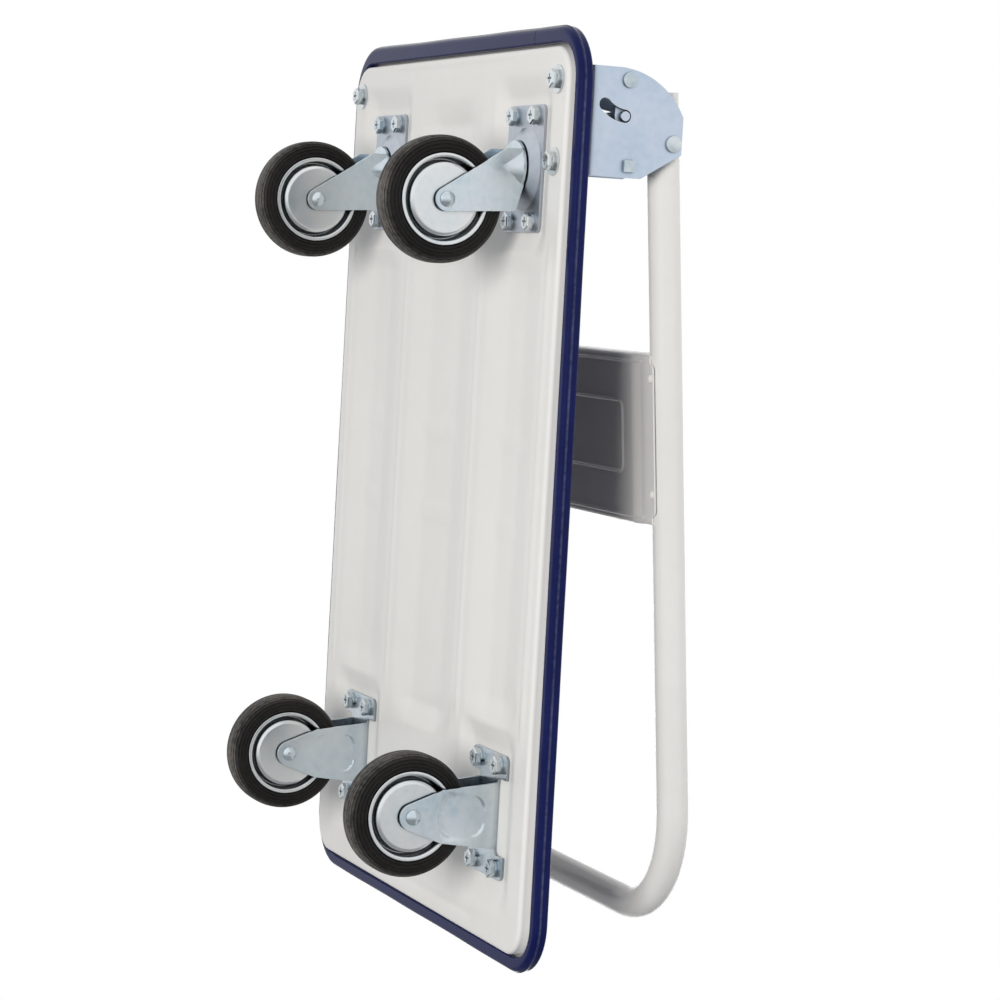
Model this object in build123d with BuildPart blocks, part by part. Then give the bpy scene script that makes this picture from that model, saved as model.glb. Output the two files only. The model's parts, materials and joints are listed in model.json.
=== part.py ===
"""Folding platform cart: a pressed steel deck on four casters, with a tube handle that folds over it.

Millimetres. +X runs from the hinge end to the end with the fixed casters, +Y is the left side,
+Z is up, and the origin is on the floor under the middle of the deck. The handle is drawn folded.
"""

import os
from math import cos, pi, radians, sin, sqrt

from build123d import *

# Deck
deck_length = 740
deck_width = 490
bumper_corner = 36
bumper_depth = 13
bumper_bottom = 126
bumper_top = 135
bumper_round = 4
slot_ease = 0.3
sheet = 1.2
base_level = 117
deck_face = 136
recess_depth = 6
pan_bend = 5
top_bend = 2.5
flange_reach = 9.7
flange_level = 130.5
pan_x = 2
mat_thickness = 2.5
mat_margin = 7
mat_notch_gap = 3
spacer_radius = 6.5

# Pressed recesses of the deck's underside: x from, x to, then y from and y to
centre_recess = (-310, 205, -74, 74)
side_recesses = ((-319, -199, 104, 196), (-188, 172, 88, 207), (194, 316, 104, 196))

# Wheels
wheel_radius = 50
tyre_width = 28
tyre_shoulder = 6
tyre_seat = 34
tyre_ease = 0.1
tread_grooves = 4
tread_pitch = 4
tread_width = 1.6
tread_depth = 1.2
rim_sheet = 1.5
rim_lip_radius = 36
rim_lip_face = 13.5
rim_well_radius = 32.4
hub_disc_radius = 29.6
hub_face = 14
rim_bends = (4, 1.3, 1.3, 1.8)
rim_lip_round = 0.6
bush_radius = 7
axle_radius = 4
axle_head_radius = 6.1
axle_head_rise = 3
rivet_edge = 0.6
running_gap = 0.08
side_gap = 0.4

# Casters
swivel_x = -259
fixed_x = 255
caster_y = 150
caster_trail = 28
plate_length = 100
plate_width = 70
plate_corner = 6
plate_sheet = 2.5
bolt_spacing_x = 83
bolt_spacing_y = 42
leg_sheet = 2
leg_outside = 18
race_radius = 32.5
race_face_radius = 23
race_drop = 5.7
race_cup_radius = 14
race_round = 1.5
ball_radius = 2.2
ball_circle = 18
ball_count = 21
ball_gap = 0.1
kingpin_radius = 6
kingpin_head_radius = 10
kingpin_head_rise = 3
crown_top = 113.4
crown_radius = 22
crown_flare = 20
fork_tip_radius = 9.5
fork_head_back = 15
fork_head_front = 18
fork_heel = 34
fork_heel_drop = 5
fork_heel_radius = 2
fork_corner = 9
fixed_tip_radius = 11
fixed_leg_width = 54
fixed_waist_width = 43
fixed_waist_level = 76
tab_length = 19
notch_width = 24
notch_corner = 5
pocket_depth = 1.2
pocket_width = 36
pocket_height = 41
pocket_middle = 91.5
pocket_corner = 13
pocket_taper = 62

# Handle
tube_radius = 12.7
tube_wall = 1.5
tube_y = 215
bend_radius = 95
pivot_x = -283
pivot_z = 209.5
pivot_radius = 4
pivot_head_radius = 6.4
pivot_head_rise = 2.5
flat_rivet_edge = 2
folded_angle = 4.8
handle_reach = 622
handle_tail = 40

# Handle panel, measured along the handle from its pivot
panel_start = 163
panel_end = 300
panel_half_width = 220
panel_corner = 6
panel_sheet = 1.5
panel_roll = 6
panel_flange = 11
panel_rivet_insets = (19.5, 26)
panel_rivet_radius = 2.4
panel_rivet_length = 4
panel_head_radius = 4
panel_head_rise = 1.8
panel_tube_gap = 1

# Hinge brackets
bracket_outside = 233
bracket_inside = 199
bracket_sheet = 2.5
bracket_bend = 7
bracket_rear = -339
bracket_front = -254.5
bracket_top = 217
bracket_bolt_x = (-327, -264)

# Foot release and the stop that the raised handle leans on
latch_x = -329.5
latch_z = 169.5
latch_arm = 28
latch_rest = -5
latch_travel = 40
latch_rivet_radius = 3.5
latch_head_radius = 6
latch_head_rise = 2.3
lever_sheet = 2
lever_pivot_end = 8.5
lever_rod_end = 7.5
rod_radius = 3.75
rod_overhang = 1
slot_width = 10
stop_x = -263.5
stop_z = 172
stop_sleeve_radius = 6.5
stop_head_width = 9
stop_head_rise = 3.2
spring_wire_radius = 0.8
spring_coil_radius = 6
spring_pitch = 2.4
spring_turns = 4
spring_leg = 9

# M8 fasteners
bolt_radius = 4
hex_across = 13
head_height = 4.4
head_chamfer = 0.8
nut_height = 6.5
washer_radius = 11
washer_sheet = 1.6
lock_washer_radius = 7
lock_washer_sheet = 2
lock_washer_split = 1.5
cross_length = 7
cross_width = 1.6
cross_depth = 1.8
bolt_end = 2

# Worked out from the sizes above
axle_z = wheel_radius
pad_level = base_level + recess_depth
plate_bottom = pad_level - plate_sheet
race_bottom = plate_bottom - race_drop
crown_bottom = crown_top - plate_sheet
heel_top = crown_top - fork_heel_drop
ball_level = (race_bottom + crown_top) / 2
pan_half_length = deck_length / 2 - bumper_depth - slot_ease
pan_half_width = deck_width / 2 - bumper_depth - slot_ease
pan_corner = bumper_corner - bumper_depth - slot_ease
bracket_middle = (bracket_outside + bracket_inside) / 2
rod_x = latch_x + latch_arm * cos(radians(latch_rest))
rod_z = latch_z + latch_arm * sin(radians(latch_rest))
tilt = radians(folded_angle)
along = (cos(tilt), 0, sin(tilt))
across_tilt = (-sin(tilt), 0, cos(tilt))
handle_plane = Plane(origin=(pivot_x, 0, pivot_z), x_dir=along, z_dir=across_tilt)
handle_side = Plane(origin=(pivot_x, 0, pivot_z), x_dir=along, z_dir=(0, -1, 0))
crosswise = (90, 0, 0)
sides = {"right": -1, "left": 1}
caster_spots = {
    "swivel_right": (swivel_x, -caster_y),
    "swivel_left": (swivel_x, caster_y),
    "fixed_right": (fixed_x, -caster_y),
    "fixed_left": (fixed_x, caster_y),
}
caster_bolt_spots = [
    (x + i * bolt_spacing_x / 2, y + j * bolt_spacing_y / 2)
    for x, y in caster_spots.values()
    for i in (-1, 1)
    for j in (-1, 1)
]
bracket_bolt_spots = [(x, side * bracket_middle) for x in bracket_bolt_x for side in (-1, 1)]

os.makedirs("parts", exist_ok=True)


def save(piece, node):
    piece.part.label = node
    export_step(piece.part, f"parts/{node}.step")


def level(z):
    return Plane.XY.offset(z)


def upright(y):
    """The upright plane at y, drawn as seen from the cart's right side: X across and Z up."""
    return Plane.XZ.offset(-y)


def reach(side, near, far):
    """Both ends, low then high, of a stretch across one side of the cart."""
    return sorted((side * near, side * far))


def at_level(spots, z):
    return [(x, y, z) for x, y in spots]


def deck_slab(grow, bottom, top, mode=Mode.ADD, x=pan_x):
    """A slab with the deck's rounded outline, grown evenly from the pan's outer wall."""
    with BuildSketch(level(bottom)) as outline:
        with Locations((x, 0)):
            RectangleRounded(2 * (pan_half_length + grow), 2 * (pan_half_width + grow), pan_corner + grow)
    extrude(outline.sketch, amount=top - bottom, mode=mode)


def rivet(shank, grip, head, rise, edge=rivet_edge):
    """A rivet along Z about the origin, whose heads stand straight up to their edge and then are domed."""
    with BuildPart() as piece:
        with BuildSketch(Plane.XZ):
            with BuildLine():
                TangentArc((0, grip / 2 + rise), (head, grip / 2 + edge), tangent=(1, 0))
                Polyline((head, grip / 2 + edge), (head, grip / 2), (shank, grip / 2), (shank, 0), (0, 0))
                Line((0, 0), (0, grip / 2 + rise))
            make_face()
            mirror(about=Plane.XZ)
        revolve(axis=Axis.Z)
    return piece.part


def button_rivet(shank, length, head, rise):
    """A rivet whose domed head hangs under the origin and whose plain shank stands on it."""
    with BuildPart() as piece:
        with BuildSketch(Plane.XZ):
            with BuildLine():
                TangentArc((0, -rise), (head, 0), tangent=(1, 0))
                Polyline((head, 0), (shank, 0), (shank, length), (0, length), (0, -rise))
            make_face()
        revolve(axis=Axis.Z)
    return piece.part


def hex_bolt(length):
    """An upright bolt whose hexagon head, with a cross recess, hangs under the origin."""
    with BuildPart() as piece:
        with BuildSketch():
            RegularPolygon(hex_across / 2, 6, major_radius=False)
        extrude(amount=-head_height)
        chamfer(piece.edges().group_by(Axis.Z)[0], length=head_chamfer)
        with Locations((0, 0, length / 2)):
            Cylinder(bolt_radius, length)
        with Locations((0, 0, -head_height)):
            Box(cross_length, cross_width, 2 * cross_depth, mode=Mode.SUBTRACT)
            Box(cross_width, cross_length, 2 * cross_depth, mode=Mode.SUBTRACT)
    return piece.part


def hex_nut():
    """A nut standing on the origin, bored to the bolt's size."""
    with BuildPart() as piece:
        with BuildSketch():
            RegularPolygon(hex_across / 2, 6, major_radius=False)
            Circle(bolt_radius, mode=Mode.SUBTRACT)
        extrude(amount=nut_height)
    return piece.part


def ring(outer, inner, thickness):
    """A flat ring standing on the origin."""
    with BuildPart() as piece:
        with BuildSketch():
            Circle(outer)
            Circle(inner, mode=Mode.SUBTRACT)
        extrude(amount=thickness)
    return piece.part


def copies(shape, spots, node, rotation=(0, 0, 0)):
    """One node that holds the same shape at every spot, as separate solids."""
    with BuildPart() as group:
        with Locations(*spots):
            add(shape, rotation=rotation)
    save(group, node)


# Deck: pressed pan below, flat sheet above, rim flanges held in the bumper, mat on top

recesses = [centre_recess]
for x_from, x_to, near, far in side_recesses:
    recesses += [(x_from, x_to, *reach(side, near, far)) for side in (-1, 1)]

with BuildPart() as pan_cavity:
    deck_slab(-sheet, base_level + sheet, flange_level + sheet)
    fillet(pan_cavity.edges().group_by(Axis.Z)[0], radius=pan_bend - sheet)

with BuildPart() as deck_pan:
    deck_slab(0, base_level, flange_level)
    fillet(deck_pan.edges().group_by(Axis.Z)[0], radius=pan_bend)
    deck_slab(flange_reach, flange_level - sheet, flange_level)
    add(pan_cavity.part, mode=Mode.SUBTRACT)
    for x_from, x_to, y_from, y_to in recesses:
        for grow, mode in ((sheet, Mode.ADD), (0, Mode.SUBTRACT)):
            with BuildSketch(level(base_level)):
                with Locations(((x_from + x_to) / 2, (y_from + y_to) / 2)):
                    Rectangle(x_to - x_from + 2 * grow, y_to - y_from + 2 * grow)
            extrude(amount=recess_depth + grow, taper=45, mode=mode)
    with Locations(*at_level(caster_bolt_spots, pad_level), *at_level(bracket_bolt_spots, base_level)):
        Cylinder(bolt_radius, 4 * sheet, mode=Mode.SUBTRACT)
save(deck_pan, "deck_pan")

with BuildPart() as top_cavity:
    deck_slab(-sheet, flange_level - sheet, deck_face - sheet)
    fillet(top_cavity.edges().group_by(Axis.Z)[-1], radius=top_bend - sheet)

with BuildPart() as deck_top:
    deck_slab(0, flange_level, deck_face)
    fillet(deck_top.edges().group_by(Axis.Z)[-1], radius=top_bend)
    deck_slab(flange_reach, flange_level, flange_level + sheet)
    add(top_cavity.part, mode=Mode.SUBTRACT)
    with Locations(*at_level(bracket_bolt_spots, deck_face)):
        Cylinder(bolt_radius, 4 * sheet, mode=Mode.SUBTRACT)
save(deck_top, "deck_top")

with BuildPart() as deck_mat:
    notch_from = bracket_rear - mat_notch_gap
    notch_to = bracket_front + mat_notch_gap
    notch_inside = bracket_inside - mat_notch_gap
    mat_half_length = pan_half_length - mat_margin
    mat_half_width = pan_half_width - mat_margin
    with BuildSketch(level(deck_face)):
        with Locations((pan_x, 0)):
            RectangleRounded(2 * mat_half_length, 2 * mat_half_width, pan_corner - mat_margin)
        for side in sides.values():
            with Locations(((notch_from + notch_to) / 2, side * (notch_inside + pan_half_width) / 2)):
                Rectangle(notch_to - notch_from, pan_half_width - notch_inside, mode=Mode.SUBTRACT)
    extrude(amount=mat_thickness)
save(deck_mat, "deck_mat")

with BuildPart() as bumper:
    deck_slab(bumper_depth + slot_ease, bumper_bottom, bumper_top, x=0)
    rim_edges = bumper.edges().group_by(Axis.Z)
    fillet(rim_edges[0] + rim_edges[-1], radius=bumper_round)
    deck_slab(slot_ease, bumper_bottom, bumper_top, mode=Mode.SUBTRACT)
    deck_slab(flange_reach + slot_ease, flange_level - sheet, flange_level + sheet, mode=Mode.SUBTRACT)
save(bumper, "bumper")


# Hinge brackets: a channel bent from one sheet, with a curved slot for the release rod in both walls

slot_line = CenterArc((latch_x, latch_z), latch_arm, latch_rest - latch_travel, latch_travel)

for name, side in sides.items():
    y_low, y_high = reach(side, bracket_inside, bracket_outside)
    with BuildPart() as bracket:
        with BuildSketch(upright(y_high)):
            with BuildLine():
                Line((bracket_rear, deck_face), (bracket_rear, 160))
                ThreePointArc((bracket_rear, 160), (-329.5, 193.5), (-304, bracket_top))
                Polyline((-304, bracket_top), (-275, bracket_top), (bracket_front, 183))
                Polyline((bracket_front, 183), (bracket_front, deck_face), (bracket_rear, deck_face))
            make_face()
        extrude(amount=y_high - y_low)
        fillet(bracket.edges().filter_by(Axis.X).group_by(Axis.Z)[0], radius=bracket_bend)
        with BuildSketch(Plane.YZ.offset(bracket_rear)):
            channel_width = y_high - y_low - 2 * bracket_sheet
            channel_height = 2 * (bracket_top - deck_face)
            with Locations((side * bracket_middle, deck_face + bracket_sheet + channel_height / 2)):
                RectangleRounded(channel_width, channel_height, bracket_bend - bracket_sheet)
        extrude(amount=bracket_front - bracket_rear, mode=Mode.SUBTRACT)
        with BuildSketch(upright(y_high)):
            with Locations((pivot_x, pivot_z)):
                Circle(pivot_radius)
            with Locations((latch_x, latch_z)):
                Circle(latch_rivet_radius)
            with Locations((stop_x, stop_z)):
                Circle(bolt_radius)
            SlotArc(slot_line, slot_width)
        extrude(amount=y_high - y_low, mode=Mode.SUBTRACT)
        with Locations(*[(x, side * bracket_middle, deck_face) for x in bracket_bolt_x]):
            Cylinder(bolt_radius, 4 * bracket_sheet, mode=Mode.SUBTRACT)
    save(bracket, f"hinge_bracket_{name}")

bracket_width = bracket_outside - bracket_inside


def bracket_spots(x, z):
    return [(x, side * bracket_middle, z) for side in sides.values()]


pivot_rivet = rivet(pivot_radius, bracket_width, pivot_head_radius, pivot_head_rise, flat_rivet_edge)
copies(pivot_rivet, bracket_spots(pivot_x, pivot_z), "pivot_rivets", crosswise)
latch_rivet = rivet(latch_rivet_radius, bracket_width, latch_head_radius, latch_head_rise, flat_rivet_edge)
copies(latch_rivet, bracket_spots(latch_x, latch_z), "latch_rivets", crosswise)

with BuildPart() as stop_sleeves:
    with Locations(*bracket_spots(stop_x, stop_z)):
        Cylinder(stop_sleeve_radius, bracket_width - 2 * bracket_sheet, rotation=crosswise)
        Cylinder(bolt_radius, bracket_width, rotation=crosswise, mode=Mode.SUBTRACT)
save(stop_sleeves, "stop_sleeves")

with BuildPart() as stop_bolts:
    for side in sides.values():
        head_low, head_high = reach(side, bracket_outside, bracket_outside + stop_head_rise)
        button_low, button_high = reach(side, bracket_inside - latch_head_rise, bracket_inside)
        with Locations((stop_x, side * bracket_middle, stop_z)):
            Cylinder(bolt_radius, bracket_width, rotation=crosswise)
        with Locations((stop_x, (head_low + head_high) / 2, stop_z)):
            Box(stop_head_width, stop_head_rise, stop_head_width)
        with Locations((stop_x, (button_low + button_high) / 2, stop_z)):
            Cylinder(latch_head_radius, latch_head_rise, rotation=crosswise)
save(stop_bolts, "stop_bolts")

bracket_seat = deck_face + bracket_sheet
washer_level = base_level - washer_sheet
bracket_bolt_seat = washer_level - lock_washer_sheet
bracket_bolt = hex_bolt(bracket_seat + nut_height + bolt_end - bracket_bolt_seat)
copies(bracket_bolt, at_level(bracket_bolt_spots, bracket_bolt_seat), "bracket_bolts")
bracket_washer = ring(washer_radius, bolt_radius, washer_sheet)
copies(bracket_washer, at_level(bracket_bolt_spots, washer_level), "bracket_washers")
copies(hex_nut(), at_level(bracket_bolt_spots, bracket_seat), "bracket_nuts")
copies(
    ring(spacer_radius, bolt_radius, deck_face - base_level - 2 * sheet),
    at_level(bracket_bolt_spots, base_level + sheet),
    "bracket_spacers",
)


# Handle: one bent tube, its sheet panel and the panel's rivets, all drawn in the folded handle's plane

panel_face = -tube_radius - panel_sheet
panel_rivet_spots = [
    (u, side * tube_y, panel_face)
    for u in (panel_start + panel_rivet_insets[0], panel_end - panel_rivet_insets[1])
    for side in sides.values()
]

with BuildPart(handle_plane) as handle_tube:
    with BuildLine(handle_plane) as handle_route:
        FilletPolyline(
            (-handle_tail, -tube_y),
            (handle_reach, -tube_y),
            (handle_reach, tube_y),
            (-handle_tail, tube_y),
            radius=bend_radius,
        )
    with BuildSketch(Plane(origin=handle_route.line @ 0, z_dir=handle_route.line % 0)):
        Circle(tube_radius)
        Circle(tube_radius - tube_wall, mode=Mode.SUBTRACT)
    sweep()
    with Locations(*[(0, side * tube_y, 0) for side in sides.values()]):
        Cylinder(pivot_radius + running_gap, 3 * tube_radius, rotation=crosswise, mode=Mode.SUBTRACT)
    with Locations(*panel_rivet_spots):
        Cylinder(panel_rivet_radius, panel_rivet_length * 2, mode=Mode.SUBTRACT)
save(handle_tube, "handle_tube")

with BuildPart(handle_plane) as handle_panel:
    with BuildSketch(handle_side):
        with BuildLine():
            FilletPolyline(
                (panel_start, panel_face + panel_flange),
                (panel_start, panel_face),
                (panel_end, panel_face),
                (panel_end, panel_face + panel_flange),
                radius=panel_roll,
            )
            offset(amount=panel_sheet, side=Side.LEFT)
        make_face()
    extrude(amount=tube_y - tube_radius - panel_tube_gap, both=True)
    with BuildSketch(handle_plane.offset(panel_face)):
        with Locations(((panel_start + panel_end) / 2, 0)):
            face_length = panel_end - panel_start - 2 * panel_roll
            RectangleRounded(face_length, 2 * panel_half_width, panel_corner)
    extrude(amount=panel_sheet)
    with Locations(*panel_rivet_spots):
        Cylinder(panel_rivet_radius, panel_rivet_length * 2, mode=Mode.SUBTRACT)
save(handle_panel, "handle_panel")

panel_rivet = button_rivet(panel_rivet_radius, panel_rivet_length, panel_head_radius, panel_head_rise)

with BuildPart(handle_plane) as panel_rivets:
    with Locations(*panel_rivet_spots):
        add(panel_rivet)
save(panel_rivets, "panel_rivets")


# Foot release: two levers beside the handle tube, joined by a rod that crosses the cart

lever_outside = bracket_outside - bracket_sheet - side_gap

for name, side in sides.items():
    y_low, y_high = reach(side, lever_outside - lever_sheet, lever_outside)
    with BuildPart() as lever:
        with BuildSketch(upright(y_high)):
            with Locations((latch_x, latch_z)):
                Circle(lever_pivot_end)
            with Locations((rod_x, rod_z)):
                Circle(lever_rod_end)
            make_hull()
            with Locations((latch_x, latch_z)):
                Circle(latch_rivet_radius + running_gap, mode=Mode.SUBTRACT)
            with Locations((rod_x, rod_z)):
                Circle(rod_radius, mode=Mode.SUBTRACT)
        extrude(amount=y_high - y_low)
    save(lever, f"latch_lever_{name}")

with BuildPart() as release_rod:
    with Locations((rod_x, 0, rod_z)):
        Cylinder(rod_radius, 2 * (bracket_outside + rod_overhang), rotation=crosswise)
save(release_rod, "release_rod")


def helix_point(turn):
    """A point on the spring's wire, and the wire's direction there, after so many turns about Y."""
    angle = 2 * pi * turn
    out = spring_coil_radius * cos(angle)
    up = spring_coil_radius * sin(angle)
    return Vector(out, spring_pitch * turn, up), Vector(-up, spring_pitch / (2 * pi), out).normalized()


def add_biarc(start, start_way, end, end_way):
    """Two arcs, tangent where they meet, from one point and direction to another."""
    gap = end - start
    ways = start_way + end_way
    bend = 2 * (1 - start_way.dot(end_way))
    pull = (sqrt(gap.dot(ways) ** 2 + bend * gap.dot(gap)) - gap.dot(ways)) / bend
    meet = (start + end + (start_way - end_way) * pull) * 0.5
    TangentArc(start, meet, tangent=start_way)
    TangentArc(meet, end, tangent=gap - ways * pull)


with BuildPart() as spring_shape:
    with BuildLine() as wire:
        first, first_way = helix_point(0)
        last, last_way = helix_point(spring_turns)
        Line(first - first_way * spring_leg, first)
        for quarter in range(4 * spring_turns):
            add_biarc(*helix_point(quarter / 4), *helix_point((quarter + 1) / 4))
        Line(last, last + last_way * spring_leg)
    with BuildSketch(Plane(origin=wire.line @ 0, z_dir=wire.line % 0)):
        Circle(spring_wire_radius)
    sweep()

wire_points = [helix_point(step / 36)[0] for step in range(36 * spring_turns + 1)]
turn_gaps = [(b - a).length for i, a in enumerate(wire_points) for b in wire_points[i + 18 :]]
print("latch spring, least gap between turns:", round(min(turn_gaps) - 2 * spring_wire_radius, 2))
spring_start = bracket_middle - spring_pitch * spring_turns / 2

with BuildPart() as latch_springs:
    with Locations((latch_x, spring_start, latch_z)):
        add(spring_shape.part)
    mirror(about=Plane.XZ)
save(latch_springs, "latch_springs")


# Casters: plates and forks

for name, side in sides.items():
    x, y = caster_spots[f"swivel_{name}"]
    with BuildPart() as swivel_plate:
        with BuildSketch(level(plate_bottom)):
            with Locations((x, y)):
                RectangleRounded(plate_length, plate_width, plate_corner)
                with GridLocations(bolt_spacing_x, bolt_spacing_y, 2, 2):
                    Circle(bolt_radius, mode=Mode.SUBTRACT)
        extrude(amount=plate_sheet)
        with Locations((x, y, race_bottom + race_drop / 2)):
            Cone(race_face_radius, race_radius, race_drop)
        fillet(swivel_plate.edges().group_by(Axis.Z)[0], radius=race_round)
        with BuildSketch(level(race_bottom + plate_sheet)):
            with Locations((x, y)):
                Circle(race_cup_radius)
        extrude(amount=race_drop, mode=Mode.SUBTRACT)
        with Locations((x, y, race_bottom)):
            Cylinder(kingpin_radius, 4 * plate_sheet, mode=Mode.SUBTRACT)
        with Locations((x, y, ball_level)):
            Torus(ball_circle, ball_radius + ball_gap, mode=Mode.SUBTRACT)
    save(swivel_plate, f"swivel_plate_{name}")

    with BuildPart() as balls:
        with Locations((x, y, ball_level)):
            with PolarLocations(ball_circle, ball_count):
                Sphere(ball_radius)
    save(balls, f"swivel_balls_{name}")

    with BuildPart() as fork:
        with BuildSketch(Plane(origin=(x, y, crown_top), x_dir=(1, 0, 0), z_dir=(0, -1, 0))):
            with BuildLine():
                Polyline((0, -crown_flare), (0, 0), (crown_radius, 0), (crown_radius, -leg_sheet))
                TangentArc((leg_outside, -crown_flare), (crown_radius, -leg_sheet), tangent=(0, 1))
                Line((leg_outside, -crown_flare), (0, -crown_flare))
            make_face()
        revolve(axis=Axis((x, y, crown_top), (0, 0, 1)))
        with Locations((x, y, crown_bottom - crown_flare / 2)):
            Box(2 * crown_radius, 2 * (leg_outside - leg_sheet), crown_flare, mode=Mode.SUBTRACT)
        for outer_face in (leg_outside, leg_sheet - leg_outside):
            with BuildSketch(upright(y + outer_face)):
                with Locations((x + caster_trail, axle_z)):
                    Circle(fork_tip_radius)
                with Locations((x + (fork_head_front - fork_head_back) / 2, crown_top - fork_corner)):
                    RectangleRounded(fork_head_front + fork_head_back, 2 * fork_corner, fork_corner / 2)
                with Locations((x + fork_heel - fork_heel_radius, heel_top - fork_heel_radius)):
                    Circle(fork_heel_radius)
                make_hull()
                with Locations((x + caster_trail, axle_z)):
                    Circle(axle_radius, mode=Mode.SUBTRACT)
            extrude(amount=leg_sheet)
        with Locations((x, y, crown_top)):
            Cylinder(kingpin_radius + running_gap, 4 * plate_sheet, mode=Mode.SUBTRACT)
        with Locations((x, y, ball_level)):
            Torus(ball_circle, ball_radius + ball_gap, mode=Mode.SUBTRACT)
    save(fork, f"swivel_fork_{name}")

    x, y = caster_spots[f"fixed_{name}"]
    with BuildPart() as fork:
        with BuildSketch(level(plate_bottom)):
            with Locations((x, y)):
                RectangleRounded(plate_length, plate_width, plate_corner)
                with GridLocations(bolt_spacing_x, bolt_spacing_y, 2, 2):
                    Circle(bolt_radius, mode=Mode.SUBTRACT)
                with GridLocations(0, 2 * leg_outside + notch_width, 1, 2):
                    RectangleRounded(
                        plate_length - 2 * tab_length, notch_width, notch_corner, mode=Mode.SUBTRACT
                    )
        extrude(amount=plate_sheet)
        for outer_face in (leg_outside, leg_sheet - leg_outside):
            with BuildSketch(upright(y + outer_face)):
                with Locations((x, axle_z)):
                    Circle(fixed_tip_radius)
                with Locations((x, fixed_waist_level)):
                    Rectangle(fixed_waist_width, leg_sheet)
                make_hull()
                Polygon(
                    (x - fixed_leg_width / 2, pad_level),
                    (x - fixed_waist_width / 2, fixed_waist_level),
                    (x + fixed_waist_width / 2, fixed_waist_level),
                    (x + fixed_leg_width / 2, pad_level),
                    align=None,
                )
                with Locations((x, axle_z)):
                    Circle(axle_radius, mode=Mode.SUBTRACT)
            extrude(amount=leg_sheet)
        for turn in sides.values():
            pocket_spot = (x, y + turn * leg_outside, pocket_middle)
            with BuildSketch(Plane(origin=pocket_spot, x_dir=(1, 0, 0), z_dir=(0, -turn, 0))):
                RectangleRounded(pocket_width, pocket_height, pocket_corner)
            extrude(amount=pocket_depth, taper=pocket_taper, mode=Mode.SUBTRACT)
    save(fork, f"fixed_fork_{name}")

kingpin_grip = race_bottom + plate_sheet - crown_bottom + side_gap
kingpin_level = race_bottom + plate_sheet - kingpin_grip / 2
kingpin = rivet(kingpin_radius, kingpin_grip, kingpin_head_radius, kingpin_head_rise)
kingpin_spots = [(swivel_x, side * caster_y) for side in sides.values()]
copies(kingpin, at_level(kingpin_spots, kingpin_level), "kingpins")

bolt_seat = plate_bottom - lock_washer_sheet
bolt_length = lock_washer_sheet + plate_sheet + sheet + nut_height
copies(hex_bolt(bolt_length), at_level(caster_bolt_spots, bolt_seat), "caster_bolts")
copies(hex_nut(), at_level(caster_bolt_spots, pad_level + sheet), "weld_nuts")

with BuildPart() as lock_washer:
    with BuildSketch():
        Circle(lock_washer_radius)
        Circle(bolt_radius, mode=Mode.SUBTRACT)
        with Locations((lock_washer_radius, 0)):
            Rectangle(2 * (lock_washer_radius - bolt_radius) + 1, lock_washer_split, mode=Mode.SUBTRACT)
    extrude(amount=lock_washer_sheet)
lock_washer_spots = at_level(caster_bolt_spots, bolt_seat)
lock_washer_spots += at_level(bracket_bolt_spots, bracket_bolt_seat)
copies(lock_washer.part, lock_washer_spots, "lock_washers")


# Wheels: rubber tyre gripped between two pressed rims, a bush through both, and a riveted axle

axle = rivet(axle_radius, 2 * leg_outside, axle_head_radius, axle_head_rise)

for spot, (x, y) in caster_spots.items():
    wheel_x = x + caster_trail if spot.startswith("swivel") else x
    centre = (wheel_x, y, axle_z)
    axis = Axis(centre, (0, 1, 0))
    section = Plane(origin=centre, x_dir=(0, 1, 0), z_dir=(1, 0, 0))
    half = tyre_width / 2
    grip = rim_lip_face - rim_sheet - tyre_ease

    with BuildPart() as tyre:
        with BuildSketch(section) as tyre_section:
            Polygon(
                (-grip, tyre_seat),
                (grip, tyre_seat),
                (grip, rim_lip_radius),
                (half, rim_lip_radius + half - grip),
                (half, wheel_radius),
                (-half, wheel_radius),
                (-half, rim_lip_radius + half - grip),
                (-grip, rim_lip_radius),
                align=None,
            )
            fillet(tyre_section.vertices().group_by(Axis.Y)[-1], radius=tyre_shoulder)
            with Locations((0, wheel_radius)):
                with GridLocations(tread_pitch, 0, tread_grooves, 1):
                    Rectangle(tread_width, 2 * tread_depth, mode=Mode.SUBTRACT)
        revolve(axis=axis)
    save(tyre, f"tyre_{spot}")

    for face, turn in (("right", -1), ("left", 1)):
        with BuildPart() as rim:
            with BuildSketch(section) as rim_section:
                with BuildLine():
                    FilletPolyline(
                        (turn * hub_face, bush_radius),
                        (turn * hub_face, hub_disc_radius),
                        (turn * rim_sheet, hub_disc_radius),
                        (turn * rim_sheet, rim_well_radius),
                        (turn * rim_lip_face, rim_well_radius),
                        (turn * rim_lip_face, rim_lip_radius),
                        radius=rim_bends,
                    )
                    offset(amount=rim_sheet, side=Side.LEFT if turn > 0 else Side.RIGHT)
                make_face()
                fillet(rim_section.vertices().group_by(Axis.Y)[-1], radius=rim_lip_round)
            revolve(axis=axis)
        save(rim, f"rim_{spot}_{face}")

    with BuildPart() as bush:
        with Locations(centre):
            Cylinder(bush_radius, 2 * (leg_outside - leg_sheet - side_gap), rotation=crosswise)
            Cylinder(axle_radius + running_gap, 2 * leg_outside, rotation=crosswise, mode=Mode.SUBTRACT)
    save(bush, f"bush_{spot}")
    copies(axle, [centre], f"axle_{spot}", crosswise)
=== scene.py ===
"""Looks of the folding platform cart: enamelled deck and handle, zinc-plated casters and hinge brackets.

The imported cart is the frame, in metres. The pieces' sizes are in millimetres and become metres in put_mesh.
"""

import json
from math import cos, pi, radians, sin

import bmesh
import bpy
import numpy as np
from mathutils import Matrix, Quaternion, Vector


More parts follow.
